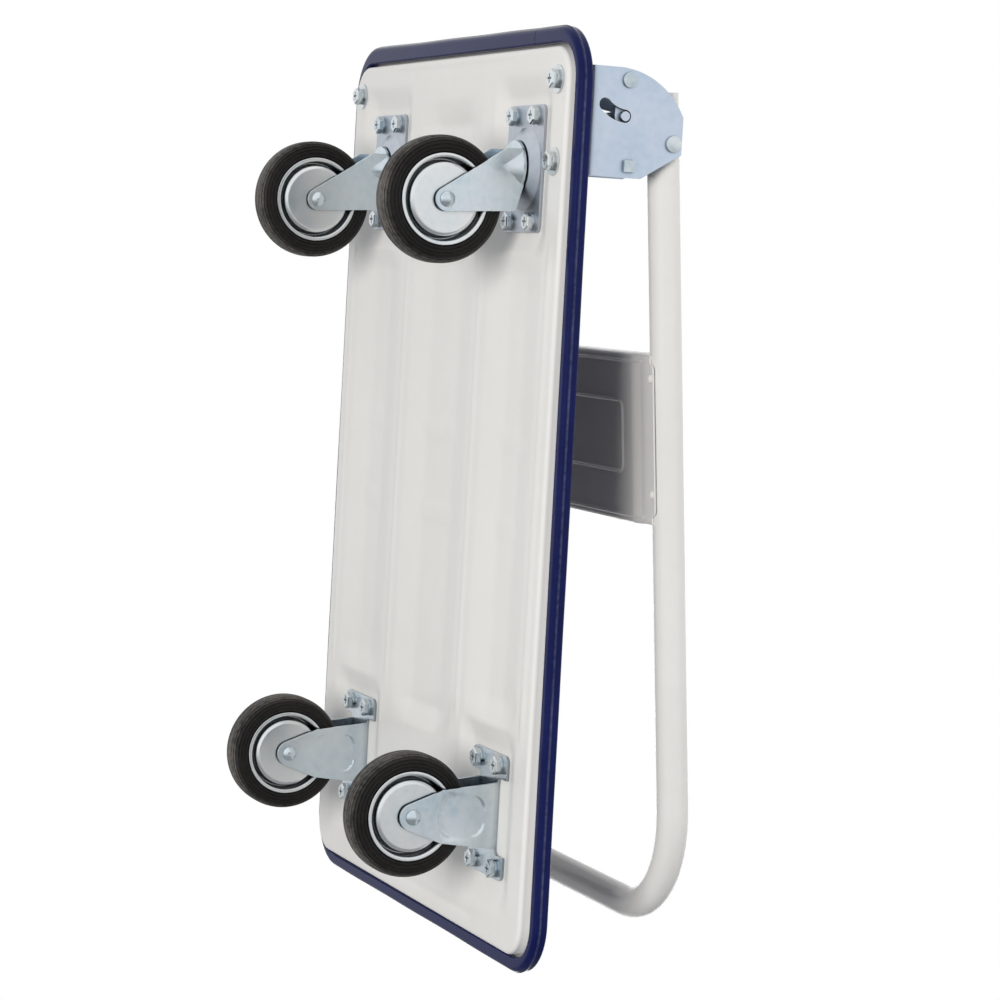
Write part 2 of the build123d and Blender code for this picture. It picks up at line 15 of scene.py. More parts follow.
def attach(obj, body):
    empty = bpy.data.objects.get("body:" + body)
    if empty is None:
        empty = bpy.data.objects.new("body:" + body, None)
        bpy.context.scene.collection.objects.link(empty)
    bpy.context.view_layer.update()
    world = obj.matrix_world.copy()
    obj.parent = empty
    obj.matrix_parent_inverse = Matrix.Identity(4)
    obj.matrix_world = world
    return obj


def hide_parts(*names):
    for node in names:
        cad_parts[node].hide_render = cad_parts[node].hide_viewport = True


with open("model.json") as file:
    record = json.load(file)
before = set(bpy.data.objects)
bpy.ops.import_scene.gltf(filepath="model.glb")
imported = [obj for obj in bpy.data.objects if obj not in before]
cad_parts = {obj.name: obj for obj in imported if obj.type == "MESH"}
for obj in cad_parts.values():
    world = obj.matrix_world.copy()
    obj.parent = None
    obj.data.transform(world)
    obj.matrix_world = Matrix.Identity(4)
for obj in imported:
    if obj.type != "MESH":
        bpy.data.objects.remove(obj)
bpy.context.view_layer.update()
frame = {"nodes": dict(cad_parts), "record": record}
nodes = frame["nodes"]
mm = 0.001

# Camera, in metres: under the deck on its right side, rolled so that the hinge end is up in the picture
camera_place = Vector((-0.1751, -2.3477, -0.8237))
camera_aim = Vector((0.0159, 0, 0.1805))
camera_roll = radians(91.45)
camera_lens = 108.45

# Deck
deck_x = 2
deck_half_length = 355
deck_half_width = 234
deck_corner = 27
base_level = 117
pan_sheet = 1.2
pan_bend = 3.5
flange_underside = 129.3
flange_reach = 7.3
pan_step = 3
pan_edge = 7.5
pan_edge_steps = (0, 0.2, 0.6, 1.2, 2.2, 3.5, 5.2)
press_depth = 6
press_ease = 0.25
channel_run = 37
centre_channel = (-318, 214)
centre_side = 68
side_channel = (-198, 186)
side_channel_sides = (98, 204)
channel_end_run = 22
cross_ribs = (-42.5, 27.5)
rib_half_width = 9.5
rib_edge = 3
rib_rise = 0.6
pads = ((-333, -188), (182, 330))
pad_sides = (93, 207)
pad_run = 19
bead_places = ((-344, 130), (342, 141))
bead_half_width = 3.5
bead_depth = 1.1
ridge_lines = (82, 217)
ridge_line_half_width = 5
ridge_line_rise = 1.2
ridge_line_span = (-206, 196)

# Bumper strip: its own outline outside, the pan's wall inside; the right side rises towards the fixed end
strip_x = 0.8
strip_half_length = 371
strip_half_width = 247.5
strip_corner = 46
strip_skew = 1.3
strip_stand_off = 3
strip_lip = 1.2
strip_left_level = (121, 134.5)
strip_right_level = (121, 133)
strip_right_climb = 3.5
strip_low_round = 4.5
strip_high_round = 3
strip_bead_share = 0.4
strip_bead_half_width = 1.3
strip_bead_rise = 0.7
# The bead's pale line is a painted highlight.
strip_bead_highlight = 1
strip_wave = 0.6
strip_wave_lengths = (23, 61)
strip_seam_y = -156
strip_seam_gap = 0.8
strip_corner_points = 15
strip_side_points = 60
strip_round_points = 10
strip_bead_points = 9

# Mat ribs
mat_level = 138.5
mat_rib_pitch = 6
mat_rib_rise = 0.6
mat_rib_fullness = 0.7
mat_rib_points = 8
mat_rib_rows = 14
mat_rib_sink = 0.05
mat_rib_sheet = 0.8
mat_field_x = (-318, 330)
mat_field_half_width = 189
mat_field_edge = 1.5

# Handle panel, measured along the handle from its pivot
pivot_x = -283
pivot_z = 209.5
folded_angle = radians(4.8)
panel_span = (163, 300)
panel_half_width = 220
panel_face = -14.2
panel_sheet = 1.5
panel_bulge = 2.6
panel_joggle = (184, 199)
panel_roll = 4.5
panel_flange = 11
panel_flange_edge = 2
panel_tube_gap = 0.2
panel_plain_share = 0.74
panel_fine_share = 0.743
panel_tab_inset = 8
panel_tab_corner = 5.2
panel_frame = (202, 259, 169)
panel_frame_corner = 7
panel_line_rise = 1.5
panel_line_half_width = 1.2
panel_line_inset = 6.5
panel_flat_points = 180
panel_roll_points = 7
panel_plain_points = 14
panel_fine_points = 90
tube_y = 215
tube_radius = 12.7

# Wheels
axle_z = 50
wheel_spots = {
    "swivel_right": (-231, -150),
    "swivel_left": (-231, 150),
    "fixed_right": (255, -150),
    "fixed_left": (255, 150),
}
tyre_radius = 50
tyre_half_width = 14
tyre_bead = ((11.9, 34), (11.9, 36.1), (12.6, 36.6), (13.5, 37.1))
tyre_wall_start = 37.8
tyre_shoulder = 9
tyre_grooves = 7
groove_half_width = 0.8
groove_depth = 0.9
# How far the tread and shoulder are painted pale, partly scuffing and partly a painted sheen, and from what
# turn.
tyre_wear_and_sheen = 0.85
tyre_wear_and_sheen_angle = radians(48)
tyre_half_points = 116
tyre_round_points = 112

# Pieces whose zinc differs from that of their slot
bright_fasteners = (
    "bracket_bolts",
    "bracket_washers",
    "bracket_nuts",
    "pivot_rivets",
    "latch_rivets",
    "stop_bolts",
    "caster_bolts",
    "lock_washers",
    "weld_nuts",
)
own_finishes = {"rim_": "rim_zinc", "swivel_plate_": "plate_zinc"}
own_finishes |= {fastener: "bolt_zinc" for fastener in bright_fasteners}

# Latch springs
spring_place = (-329.5, 211.2, 169.5)
spring_radius = 6
spring_wire = 0.8
spring_pitch = 2.4
spring_turns = 4
spring_leg = 9
spring_leg_gap = 1
spring_turn_points = 20
spring_wire_sides = 10

# Floor, surroundings and lamps, in metres
floor_half = 20
floor_fade = (0.8, 3)
floor_tone = (0.86, 0.86, 0.86, 1)
sky_tone = (0.92, 0.94, 1, 1)
lamp_tone = (1, 0.99, 0.965)
lamp_size = 1.6
lamp_aim = Vector((0, 0, 0.15))
under_lamp = (-0.4, -2.5, -2.85)
top_lamp = (-0.6, -1.0, 2.2)
far_lamp = (0.9, 1.8, 1.2)


def smooth_step(t):
    """0 up to t = 0 and 1 from t = 1, as 3t^2 - 2t^3 between."""
    t = np.clip(t, 0, 1)
    return t * t * (3 - 2 * t)


def ramp(t):
    """0 up to t = 0 and 1 from t = 1, straight between, with both corners eased by averaging."""
    ease = press_ease

    def total(t):
        inside = np.clip(t, 0, 1)
        return inside * inside / 2 + np.maximum(t - 1, 0)

    return (total(t + ease / 2) - total(t - ease / 2)) / ease


def hump(t):
    """A raised cosine: 1 at t = 0, falling to 0 at t = -1 and t = 1."""
    return 0.5 + 0.5 * np.cos(pi * np.clip(t, -1, 1))


def grid_faces(rows, columns, wrap_rows=False, wrap_columns=False):
    """Quads between neighbouring points of a grid, whose last row or column joins the first if it wraps."""
    row = np.arange(rows if wrap_rows else rows - 1)[:, None]
    column = np.arange(columns if wrap_columns else columns - 1)[None, :]
    next_row = (row + 1) % rows * columns
    next_column = (column + 1) % columns
    row = row * columns
    corners = (row + column, row + next_column, next_row + next_column, next_row + column)
    return np.stack(np.broadcast_arrays(*corners), -1).reshape(-1, 4)


def put_mesh(name, points, faces, body, slot, replaced=(), caps=(), sheet=0, finish=None):
    """A smooth-shaded piece at the origin from points in millimetres, which rides on a body of the cart.

    An open surface gets a sheet's thickness behind it, and a closed one has its faces turned outwards.
    The finish is the slot's unless another is named.
    """
    mesh = bpy.data.meshes.new(name)
    mesh.from_pydata((points.reshape(-1, 3) * mm).tolist(), [], faces.tolist() + list(caps))
    shape = bmesh.new()
    shape.from_mesh(mesh)
    bmesh.ops.remove_doubles(shape, verts=shape.verts, dist=1e-7)
    if not sheet:
        bmesh.ops.recalc_face_normals(shape, faces=shape.faces)
    shape.to_mesh(mesh)
    shape.free()
    mesh.polygons.foreach_set("use_smooth", np.ones(len(mesh.polygons), bool))
    piece = bpy.data.objects.new(name, mesh)
    bpy.context.scene.collection.objects.link(piece)
    if sheet:
        wall = piece.modifiers.new("sheet", "SOLIDIFY")
        wall.thickness = sheet * mm
        wall.offset = -1
    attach(piece, body)
    if replaced:
        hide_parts(*replaced)
    mesh.materials.append(finishes[finish or slot])
    return piece


def put_wear_and_highlight(piece, wear_and_highlight):
    """How much of a rubber piece is painted pale at each of its points, which its finish reads: partly
    scuffing and partly a painted highlight.
    """
    worn_and_highlight = piece.data.attributes.new("wear_and_highlight", "FLOAT", "POINT")
    worn_and_highlight.data.foreach_set("value", wear_and_highlight)


# Shading helpers

def add_node(tree, kind, inputs=None, **settings):
    """A node with its settings; each input is linked if it is given an output, and else set to a value."""
    made = tree.nodes.new(kind)
    for key, value in settings.items():
        setattr(made, key, value)
    for key, value in (inputs or {}).items():
        if isinstance(value, bpy.types.NodeSocket):
            tree.links.new(value, made.inputs[key])
        else:
            made.inputs[key].default_value = value
    return made


def new_group(name, inputs, outputs):
    """An empty shader node group with named sockets, and its input and output nodes."""
    group = bpy.data.node_groups.new(name, "ShaderNodeTree")
    for label, (kind, value) in inputs.items():
        socket = group.interface.new_socket(label, in_out="INPUT", socket_type=kind)
        socket.default_value = value
    for label, kind in outputs.items():
        group.interface.new_socket(label, in_out="OUTPUT", socket_type=kind)
    return group, group.nodes.new("NodeGroupInput").outputs, group.nodes.new("NodeGroupOutput").inputs


def multiply(tree, first, second):
    return add_node(tree, "ShaderNodeMath", {0: first, 1: second}, operation="MULTIPLY").outputs["Value"]


def larger(tree, first, second):
    return add_node(tree, "ShaderNodeMath", {0: first, 1: second}, operation="MAXIMUM").outputs["Value"]


def spread(tree, value, low, high):
    """A value stretched so that low becomes 0 and high becomes 1, and cut off past both."""
    ends = {"Value": value, "From Min": low, "From Max": high}
    return add_node(tree, "ShaderNodeMapRange", ends).outputs["Result"]


def noise(tree, place, scale, detail):
    cloud = {"Vector": place, "Scale": scale, "Detail": detail}
    return add_node(tree, "ShaderNodeTexNoise", cloud).outputs["Fac"]


number = "NodeSocketFloat"
vector = "NodeSocketVector"
nowhere = (vector, (0, 0, 0))


def make_cloud_group():
    """Slow mottling: soft noise with a finer noise over it, spread to the full range from 0 to 1."""
    sizes = {"Scale": (number, 8), "Fine Scale": (number, 90), "Fine Share": (number, 0.3)}
    group, given, out = new_group("mottle", {"Place": nowhere} | sizes, {"Mask": number})
    slow = noise(group, given["Place"], given["Scale"], 4)
    fine = noise(group, given["Place"], given["Fine Scale"], 3)
    both = add_node(group, "ShaderNodeMix", {"Factor": given["Fine Share"], "A": slow, "B": fine})
    group.links.new(spread(group, both.outputs["Result"], 0.32, 0.68), out["Mask"])
    return group


def make_relief_group():
    """Fine bumps: the normal of a noise height with the given size and depth in metres."""
    sizes = {"Scale": (number, 400), "Depth": (number, 0.00005)}
    group, given, out = new_group(
        "fine_relief", {"Place": nowhere, "Normal": nowhere} | sizes, {"Normal": vector}
    )
    grain = noise(group, given["Place"], given["Scale"], 3)
    height = {"Height": grain, "Distance": given["Depth"], "Normal": given["Normal"]}
    group.links.new(add_node(group, "ShaderNodeBump", height).outputs["Normal"], out["Normal"])
    return group


def make_edge_group():
    """Rounded edges: the normal averaged over a small radius, and a mask of where it leaves the face's."""
    outputs = {"Normal": vector, "Mask": number}
    group, given, out = new_group("rounded_edges", {"Radius": (number, 0.0005)}, outputs)
    rounded = add_node(group, "ShaderNodeBevel", {"Radius": given["Radius"]}, samples=4).outputs["Normal"]
    own = add_node(group, "ShaderNodeNewGeometry").outputs["Normal"]
    likeness = add_node(group, "ShaderNodeVectorMath", {0: rounded, 1: own}, operation="DOT_PRODUCT")
    group.links.new(rounded, out["Normal"])
    group.links.new(spread(group, likeness.outputs["Value"], 0.995, 0.85), out["Mask"])
    return group


def make_dust_group():
    """Dust on upward faces: how far the normal points up, broken up by noise."""
    inputs = {"Place": nowhere, "Amount": (number, 0.3)}
    group, given, out = new_group("settled_dust", inputs, {"Mask": number})
    own = add_node(group, "ShaderNodeNewGeometry").outputs["Normal"]
    upward = add_node(group, "ShaderNodeSeparateXYZ", {"Vector": own}).outputs["Z"]
    specks = noise(group, given["Place"], 160, 6)
    dusty = multiply(group, spread(group, upward, 0.2, 0.9), spread(group, specks, 0.42, 0.7))
    group.links.new(multiply(group, dusty, given["Amount"]), out["Mask"])
    return group


def make_crevice_shade_group():
    """Painted shade in crevices: 1 where surfaces close a spot in within the given reach, and 0 in the open.
    """
    inputs = {"Reach": (number, 0.005), "Amount": (number, 0.8)}
    group, given, out = new_group("crevice_shade", inputs, {"Mask": number})
    open_share = add_node(group, "ShaderNodeAmbientOcclusion", {"Distance": given["Reach"]}, samples=6)
    closed = spread(group, open_share.outputs["AO"], 0.75, 0.2)
    group.links.new(multiply(group, closed, given["Amount"]), out["Mask"])
    return group


groups = {
    "mottle": make_cloud_group(),
    "fine_relief": make_relief_group(),
    "rounded_edges": make_edge_group(),
    "settled_dust": make_dust_group(),
    "crevice_shade": make_crevice_shade_group(),
}


def use_group(tree, name, inputs):
    return add_node(tree, "ShaderNodeGroup", inputs, node_tree=groups[name]).outputs


def blend_colour(tree, share, low, high):
    """The colour between two, linked or plain, by a share from 0 to 1.

    The mix node's colour sockets are its inputs 6 and 7 and its output 2.
    """
    mix = tree.nodes.new("ShaderNodeMix")
    mix.data_type = "RGBA"
    tree.links.new(share, mix.inputs["Factor"])
    for socket, value in ((mix.inputs[6], low), (mix.inputs[7], high)):
        if isinstance(value, bpy.types.NodeSocket):
            tree.links.new(value, socket)
        else:
            socket.default_value = (*value, 1)
    return mix.outputs[2]


def blend_number(tree, share, low, high):
    """The number between two by a share from 0 to 1."""
    ends = {"Value": share, "To Min": low, "To Max": high}
    return add_node(tree, "ShaderNodeMapRange", ends).outputs["Result"]


def new_material(name, **plain):
    """A material, its node tree, its Principled shader with plain values set, and Object coordinates."""
    material = bpy.data.materials.new(name)
    material.use_nodes = True
    tree = material.node_tree
    shader = tree.nodes["Principled BSDF"]
    for key, value in plain.items():
        shader.inputs[key.replace("_", " ")].default_value = value
    place = tree.nodes.new("ShaderNodeTexCoord").outputs["Object"]
    return material, tree, shader, place


# Painted shade: the tones that enamel and metal darken to where surfaces close in on a spot.
enamel_painted_shade = (0.42, 0.41, 0.4)
metal_painted_shade = (0.02, 0.023, 0.028)
dust_tone = (0.24, 0.23, 0.22)
# Painted highlight gain on zinc edges, and painted shade in rubber grooves.
edge_highlight_gain = 1.2
groove_shade = 0.3


def enamel(name, low, high, coat, shine):
    """Stoved enamel: a slight drift of tone, orange peel, painted shade in the corners and a clear top layer.
    """
    gloss = {"Coat_Weight": coat, "Coat_Roughness": 0.1, "Specular_IOR_Level": shine}
    material, tree, shader, place = new_material(name, **gloss)
    drift = use_group(tree, "mottle", {"Place": place, "Scale": 5, "Fine Scale": 60, "Fine Share": 0.25})
    # Painted shade: the paint darkens in corners where surfaces close in.
    corners = use_group(tree, "crevice_shade", {"Reach": 0.006, "Amount": 0.35})
    paint = blend_colour(tree, drift["Mask"], low, high)
    tree.links.new(blend_colour(tree, corners["Mask"], paint, enamel_painted_shade), shader.inputs["Base Color"])
    tree.links.new(blend_number(tree, drift["Mask"], 0.3, 0.38), shader.inputs["Roughness"])
    edges = use_group(tree, "rounded_edges", {"Radius": 0.0006})
    peel = use_group(
        tree, "fine_relief", {"Place": place, "Scale": 420, "Depth": 0.00002, "Normal": edges["Normal"]}
    )
    tree.links.new(peel["Normal"], shader.inputs["Normal"])
    return material


def zinc(name, dull, bright, tint, rough, reach=0.012, painted_shade_amount=0.97):
    """Zinc plate: cloudy metal with a passing tint, painted edge highlights, a fine grain and painted shade
    in crevices.
    """
    material, tree, shader, place = new_material(name, Metallic=1)
    clouds = use_group(tree, "mottle", {"Place": place, "Scale": 14, "Fine Scale": 160, "Fine Share": 0.35})
    tints = use_group(tree, "mottle", {"Place": place, "Scale": 32, "Fine Scale": 40, "Fine Share": 0.4})
    edges = use_group(tree, "rounded_edges", {"Radius": 0.0005})
    # Painted shade: crevices darken towards the dark tone where surfaces close in.
    crevices = use_group(tree, "crevice_shade", {"Reach": reach, "Amount": painted_shade_amount})
    plated = blend_colour(tree, clouds["Mask"], dull, bright)
    plated = blend_colour(tree, multiply(tree, tints["Mask"], clouds["Mask"]), plated, tint)
    # Painted highlight: the rounded edges are brightened beyond the bright tone.
    plated = blend_colour(tree, edges["Mask"], plated, tuple(min(1, edge_highlight_gain * part) for part in bright))
    plated = blend_colour(tree, crevices["Mask"], plated, metal_painted_shade)
    tree.links.new(plated, shader.inputs["Base Color"])
    tree.links.new(blend_number(tree, clouds["Mask"], *rough), shader.inputs["Roughness"])
    grain = use_group(
        tree, "fine_relief", {"Place": place, "Scale": 900, "Depth": 0.000012, "Normal": edges["Normal"]}
    )
    tree.links.new(grain["Normal"], shader.inputs["Normal"])
    return material


def rubber(name, low, high, worn_and_highlight, rough, shine, dust, grain):
    """Moulded rubber or vinyl: mottled tone, pale edges, painted shade in grooves, dust on top and a fine
    grain.

    A piece's own wear_and_highlight attribute, where it has one, says how much of it is painted pale. These
    pale points and the pale edges are partly scuffing and partly a painted highlight.
    """
    material, tree, shader, place = new_material(name, Specular_IOR_Level=shine)
    tone = use_group(tree, "mottle", {"Place": place, "Scale": 18, "Fine Scale": 260, "Fine Share": 0.5})
    settled = use_group(tree, "settled_dust", {"Place": place, "Amount": dust})
    edges = use_group(tree, "rounded_edges", {"Radius": 0.0005})
    # Painted shade in the grooves, where surfaces close in.
    grooves = use_group(tree, "crevice_shade", {"Reach": 0.002, "Amount": 0.8})
    body = blend_colour(tree, tone["Mask"], low, high)
    wear_and_highlight = add_node(tree, "ShaderNodeAttribute", attribute_name="wear_and_highlight").outputs["Fac"]
    # Edges and marked points turn pale: partly scuffing and partly a painted highlight.
    wear_and_highlight_share = multiply(tree, larger(tree, edges["Mask"], wear_and_highlight), tone["Mask"])
    body = blend_colour(tree, wear_and_highlight_share, body, worn_and_highlight)
    body = blend_colour(tree, grooves["Mask"], body, tuple(groove_shade * part for part in low))
    tree.links.new(blend_colour(tree, settled["Mask"], body, dust_tone), shader.inputs["Base Color"])
    tree.links.new(blend_number(tree, tone["Mask"], *rough), shader.inputs["Roughness"])
    scale, depth = grain
    skin = use_group(
        tree, "fine_relief", {"Place": place, "Scale": scale, "Depth": depth, "Normal": edges["Normal"]}
    )
    tree.links.new(skin["Normal"], shader.inputs["Normal"])
    return material


enamels = {
    "cream_paint": {
        "low": (0.79, 0.775, 0.74),
        "high": (0.84, 0.825, 0.79),
        "coat": 0.12,
        "shine": 0.3,
    },
    "panel_paint": {
        "low": (0.79, 0.775, 0.75),
        "high": (0.84, 0.825, 0.8),
        "coat": 0.6,
        "shine": 0.5,
    },
}
# A zinc's reach and painted_shade_amount set its painted shade in crevices.
zincs = {
    "zinc_steel": {
        "dull": (0.49, 0.59, 0.725),
        "bright": (0.63, 0.735, 0.855),
        "tint": (0.66, 0.685, 0.785),
        "rough": (0.3, 0.4),
        "reach": 0.03,
    },
    "caster_zinc": {
        "dull": (0.5, 0.6, 0.67),
        "bright": (0.69, 0.78, 0.84),
        "tint": (0.73, 0.73, 0.74),
        "rough": (0.18, 0.28),
    },
    "plate_zinc": {
        "dull": (0.42, 0.475, 0.54),
        "bright": (0.57, 0.625, 0.69),
        "tint": (0.63, 0.61, 0.65),
        "rough": (0.36, 0.46),
        "reach": 0.006,
        "painted_shade_amount": 0.6,
    },
    "rim_zinc": {
        "dull": (0.65, 0.7, 0.735),
        "bright": (0.78, 0.825, 0.85),
        "tint": (0.8, 0.775, 0.75),
        "rough": (0.18, 0.26),
        "reach": 0.007,
        "painted_shade_amount": 0.6,
    },
    "bolt_zinc": {
        "dull": (0.42, 0.51, 0.57),
        "bright": (0.74, 0.81, 0.85),
        "tint": (0.7, 0.69, 0.66),
        "rough": (0.1, 0.18),
        "reach": 0.006,
        "painted_shade_amount": 0.45,
    },
    "spring_steel": {
        "dull": (0.3, 0.31, 0.33),
        "bright": (0.46, 0.46, 0.47),
        "tint": (0.4, 0.38, 0.36),
        "rough": (0.25, 0.35),
    },
}
# Each rubber's worn_and_highlight tone is the pale of its edges and marked points: partly scuffing and partly
# a painted highlight.
rubbers = {
    "bumper_vinyl": {
        "low": (0.0032, 0.0066, 0.06),
        "high": (0.0062, 0.0115, 0.086),
        "worn_and_highlight": (0.085, 0.095, 0.18),
        "rough": (0.14, 0.2),
        "shine": 0.12,
        "dust": 0.06,
        "grain": (700, 0.00002),
    },
    "tyre_rubber": {
        "low": (0.008, 0.0073, 0.0071),
        "high": (0.0155, 0.014, 0.0135),
        "worn_and_highlight": (0.21, 0.195, 0.18),
        "rough": (0.45, 0.6),
        "shine": 0.18,
        "dust": 0.12,
        "grain": (900, 0.00006),
    },
    "mat_rubber": {
        "low": (0.02, 0.0205, 0.036),
        "high": (0.033, 0.0335, 0.058),
        "worn_and_highlight": (0.058, 0.059, 0.08),
        "rough": (0.55, 0.7),
        "shine": 0.3,
        "dust": 0.15,
        "grain": (800, 0.00006),
    },
}
finishes = {
    name: make(name, **looks)
    for make, kinds in ((enamel, enamels), (zinc, zincs), (rubber, rubbers))
    for name, looks in kinds.items()
}


def make_soft_shading():
    """A geometry node group that joins loose triangles and shades smooth each edge under 30 degrees."""
    tree = bpy.data.node_groups.new("soft_shading", "GeometryNodeTree")
    tree.interface.new_socket("Geometry", in_out="INPUT", socket_type="NodeSocketGeometry")
    tree.interface.new_socket("Geometry", in_out="OUTPUT", socket_type="NodeSocketGeometry")
    given = tree.nodes.new("NodeGroupInput").outputs[0]
    joined = add_node(tree, "GeometryNodeMergeByDistance", {"Geometry": given, "Distance": 0.000002})
    smooth = add_node(tree, "GeometryNodeSetShadeSmooth", {0: joined.outputs["Geometry"]}, domain="FACE")
    turn = tree.nodes.new("GeometryNodeInputMeshEdgeAngle")
    sharp = add_node(
        tree,
        "FunctionNodeCompare",
        {"A": turn.outputs["Unsigned Angle"], "B": radians(30)},
        data_type="FLOAT",
        operation="GREATER_THAN",
    )
    creased = add_node(
        tree,
        "GeometryNodeSetShadeSmooth",
        {0: smooth.outputs[0], 1: sharp.outputs["Result"], 2: False},
        domain="EDGE",
    )
    tree.links.new(creased.outputs[0], tree.nodes.new("NodeGroupOutput").inputs[0])
    return tree


soft_shading = make_soft_shading()


def node_finish(entry):
    """A node takes its slot's finish, unless its name starts like a piece that has its own zinc."""
    for start, finish in own_finishes.items():
        if entry["node"].startswith(start):
            return finish
    return entry["material_slot"]


for entry in frame["record"]["subparts"]:
    part = nodes[entry["node"]]
    part.data.materials.clear()
    part.data.materials.append(finishes[node_finish(entry)])
    part.modifiers.new("soft_shading", "NODES").node_group = soft_shading
    part.modifiers.new("flat_faces", "WEIGHTED_NORMAL").keep_sharp = True


# Deck pan: one pressed sheet, as a height over the deck's rounded rectangle

def into_corners(x, y):
    """Moves points of a rectangle's corner squares into quarter discs.

    Inside a corner square, (a, b) goes to (a sqrt(1 - b^2/2), b sqrt(1 - a^2/2)), so the outer edges become
    an arc.
    """
    a = np.clip((np.abs(x) - deck_half_length) / deck_corner + 1, 0, 1)
    b = np.clip((np.abs(y) - deck_half_width) / deck_corner + 1, 0, 1)
    shift_x = deck_corner * (a * np.sqrt(1 - b * b / 2) - a)
    shift_y = deck_corner * (b * np.sqrt(1 - a * a / 2) - b)
    return x + np.sign(x) * shift_x, y + np.sign(y) * shift_y


def rim_distance(x, y):
    """How far a point lies inside the deck's rounded outline, and the outward way to the outline."""
    a = np.abs(x) - (deck_half_length - deck_corner)
    b = np.abs(y) - (deck_half_width - deck_corner)
    reach_x, reach_y = np.maximum(a, 0), np.maximum(b, 0)
    reach = np.hypot(reach_x, reach_y)
    inside = deck_corner - reach - np.minimum(np.maximum(a, b), 0)
    scale = np.maximum(reach, 1e-6)
    return inside, np.sign(x) * reach_x / scale, np.sign(y) * reach_y / scale


def span(value, low, high, run):
    """1 between low and high, sloping to 0 over a run inside each end."""
    return ramp((value - low) / run) * ramp((high - value) / run)


def press_height(x, y):
    """How far the pan is pressed up.

    It is the deepest of the channels and caster pads, with cross ribs, end beads and ridge lines.
    """
    across = np.abs(y)
    centre = span(y, -centre_side, centre_side, channel_run) * span(x, *centre_channel, channel_end_run)
    side = span(across, *side_channel_sides, channel_run) * span(x, *side_channel, channel_end_run)
    ribs = sum(span(x, rib - rib_half_width, rib + rib_half_width, rib_edge) for rib in cross_ribs)
    channels = np.minimum(press_depth * np.maximum(centre, side), press_depth - rib_rise * ribs)
    seats = press_depth * sum(span(x, *pad, pad_run) for pad in pads) * span(across, *pad_sides, pad_run)
    beads = sum(
        hump((x - place) / bead_half_width) * smooth_step((half - across) / bead_half_width)
        for place, half in bead_places
    )
    lines = sum(hump((across - line) / ridge_line_half_width) for line in ridge_lines)
    lines = lines * span(x, *ridge_line_span, channel_end_run)
    return np.maximum(channels, seats) + bead_depth * beads - ridge_line_rise * lines


def axis_points(half):
    """Even steps along one side, closing up over the bend at each end."""
    bend = np.array(pan_edge_steps)
    inner = np.linspace(-half + pan_edge, half - pan_edge, int(2 * half / pan_step))
    return np.concatenate([bend - half, inner, half - bend[::-1]])


def make_pan():
    """Rows and columns over the deck; two more rings outside carry the rim's wall up and its flange out."""
    x, y = np.meshgrid(axis_points(deck_half_length), axis_points(deck_half_width), indexing="ij")
    x, y = into_corners(*(np.pad(part, 2, mode="edge") for part in (x, y)))
    inside, out_x, out_y = rim_distance(x, y)
    roll = np.clip(pan_bend - inside, 0, pan_bend)
    z = base_level + press_height(x + deck_x, y) + pan_bend - np.sqrt(pan_bend**2 - roll**2)
    rows, columns = x.shape
    row, column = np.indices(x.shape)
    ring = np.minimum(np.minimum(row, rows - 1 - row), np.minimum(column, columns - 1 - column))
    z = np.where(ring < 2, flange_underside, z)
    x = x + np.where(ring == 0, flange_reach, 0) * out_x
    y = y + np.where(ring == 0, flange_reach, 0) * out_y
    points = np.stack([x + deck_x, y, z], -1)
    faces = grid_faces(rows, columns)
    put_mesh("pan_pressing", points, faces, "chassis", "cream_paint", ["deck_pan"], sheet=pan_sheet)


make_pan()


# Bumper: one strip, carried round the deck, whose ends meet at the hinge end

def strip_sections():
    """The strip's outer side, out from its outline, its inner side, out from the pan's wall, and its painted
    highlight.

    Each point's height is a share of the way from the strip's bottom to its top, plus a distance from
    there. The outer side is a quarter circle up from the bottom, an upright face with a raised cosine as a
    bead along it, and a quarter circle over at the top. The bead is painted pale as a highlight along it.
    """
    turn = np.linspace(0, pi / 2, strip_round_points)
    still = np.zeros(turn.shape)
    low = np.stack([strip_low_round * (np.sin(turn) - 1), still, strip_low_round * (1 - np.cos(turn))])
    high = np.stack([strip_high_round * (np.cos(turn) - 1), still + 1, strip_high_round * (np.sin(turn) - 1)])
    across = np.linspace(-1, 1, strip_bead_points)
    level = np.full(across.shape, strip_bead_share)
    bead = np.stack([strip_bead_rise * hump(across), level, strip_bead_half_width * across])
    outer = np.concatenate([low, bead, high], 1)
    lip = np.array([(0, 1, 0), (0, 0, strip_lip), (strip_lip, 0, 0)]) + [strip_stand_off, 0, 0]
    wear_and_highlight = np.zeros(outer.shape[1] + len(lip))
    # The bead is painted pale: a painted highlight.
    wear_and_highlight[len(turn) : len(turn) + len(across)] = strip_bead_highlight * hump(across)
    return outer, lip.T, wear_and_highlight


def outline(middle_x, half_length, half_width, corner):
    """Points round a rounded rectangle and their outward ways, from the seam round to the seam again.

    Every outline has as many points in each corner and on each side, so that two of them pair up.
    """
    turn = np.linspace(0, pi / 2, strip_corner_points)
    corner_x, corner_y = half_length - corner, half_width - corner
    seam = np.array([[-half_length, strip_seam_y]])
    places, ways = [seam - [[0, strip_seam_gap / 2]]], [np.array([[-1.0, 0]])]
    for start, side_x, side_y in ((pi, -1, -1), (1.5 * pi, 1, -1), (0, 1, 1), (0.5 * pi, -1, 1)):
        way = np.stack([np.cos(start + turn), np.sin(start + turn)], -1)
        places.append(np.array([side_x * corner_x, side_y * corner_y]) + corner * way)
        ways.append(way)
    places = np.concatenate([*places, seam + [[0, strip_seam_gap / 2]]])
    ways = np.concatenate([*ways, [[-1.0, 0]]])
    count = np.arange(len(places))
    sides = [np.linspace(start, start + 1, strip_side_points) for start in count[::strip_corner_points]]
    fine = np.union1d(count, np.concatenate(sides))
    places = np.stack([np.interp(fine, count, part) for part in places.T], -1)
    ways = np.stack([np.interp(fine, count, part) for part in ways.T], -1)
    return places + [middle_x, 0], ways


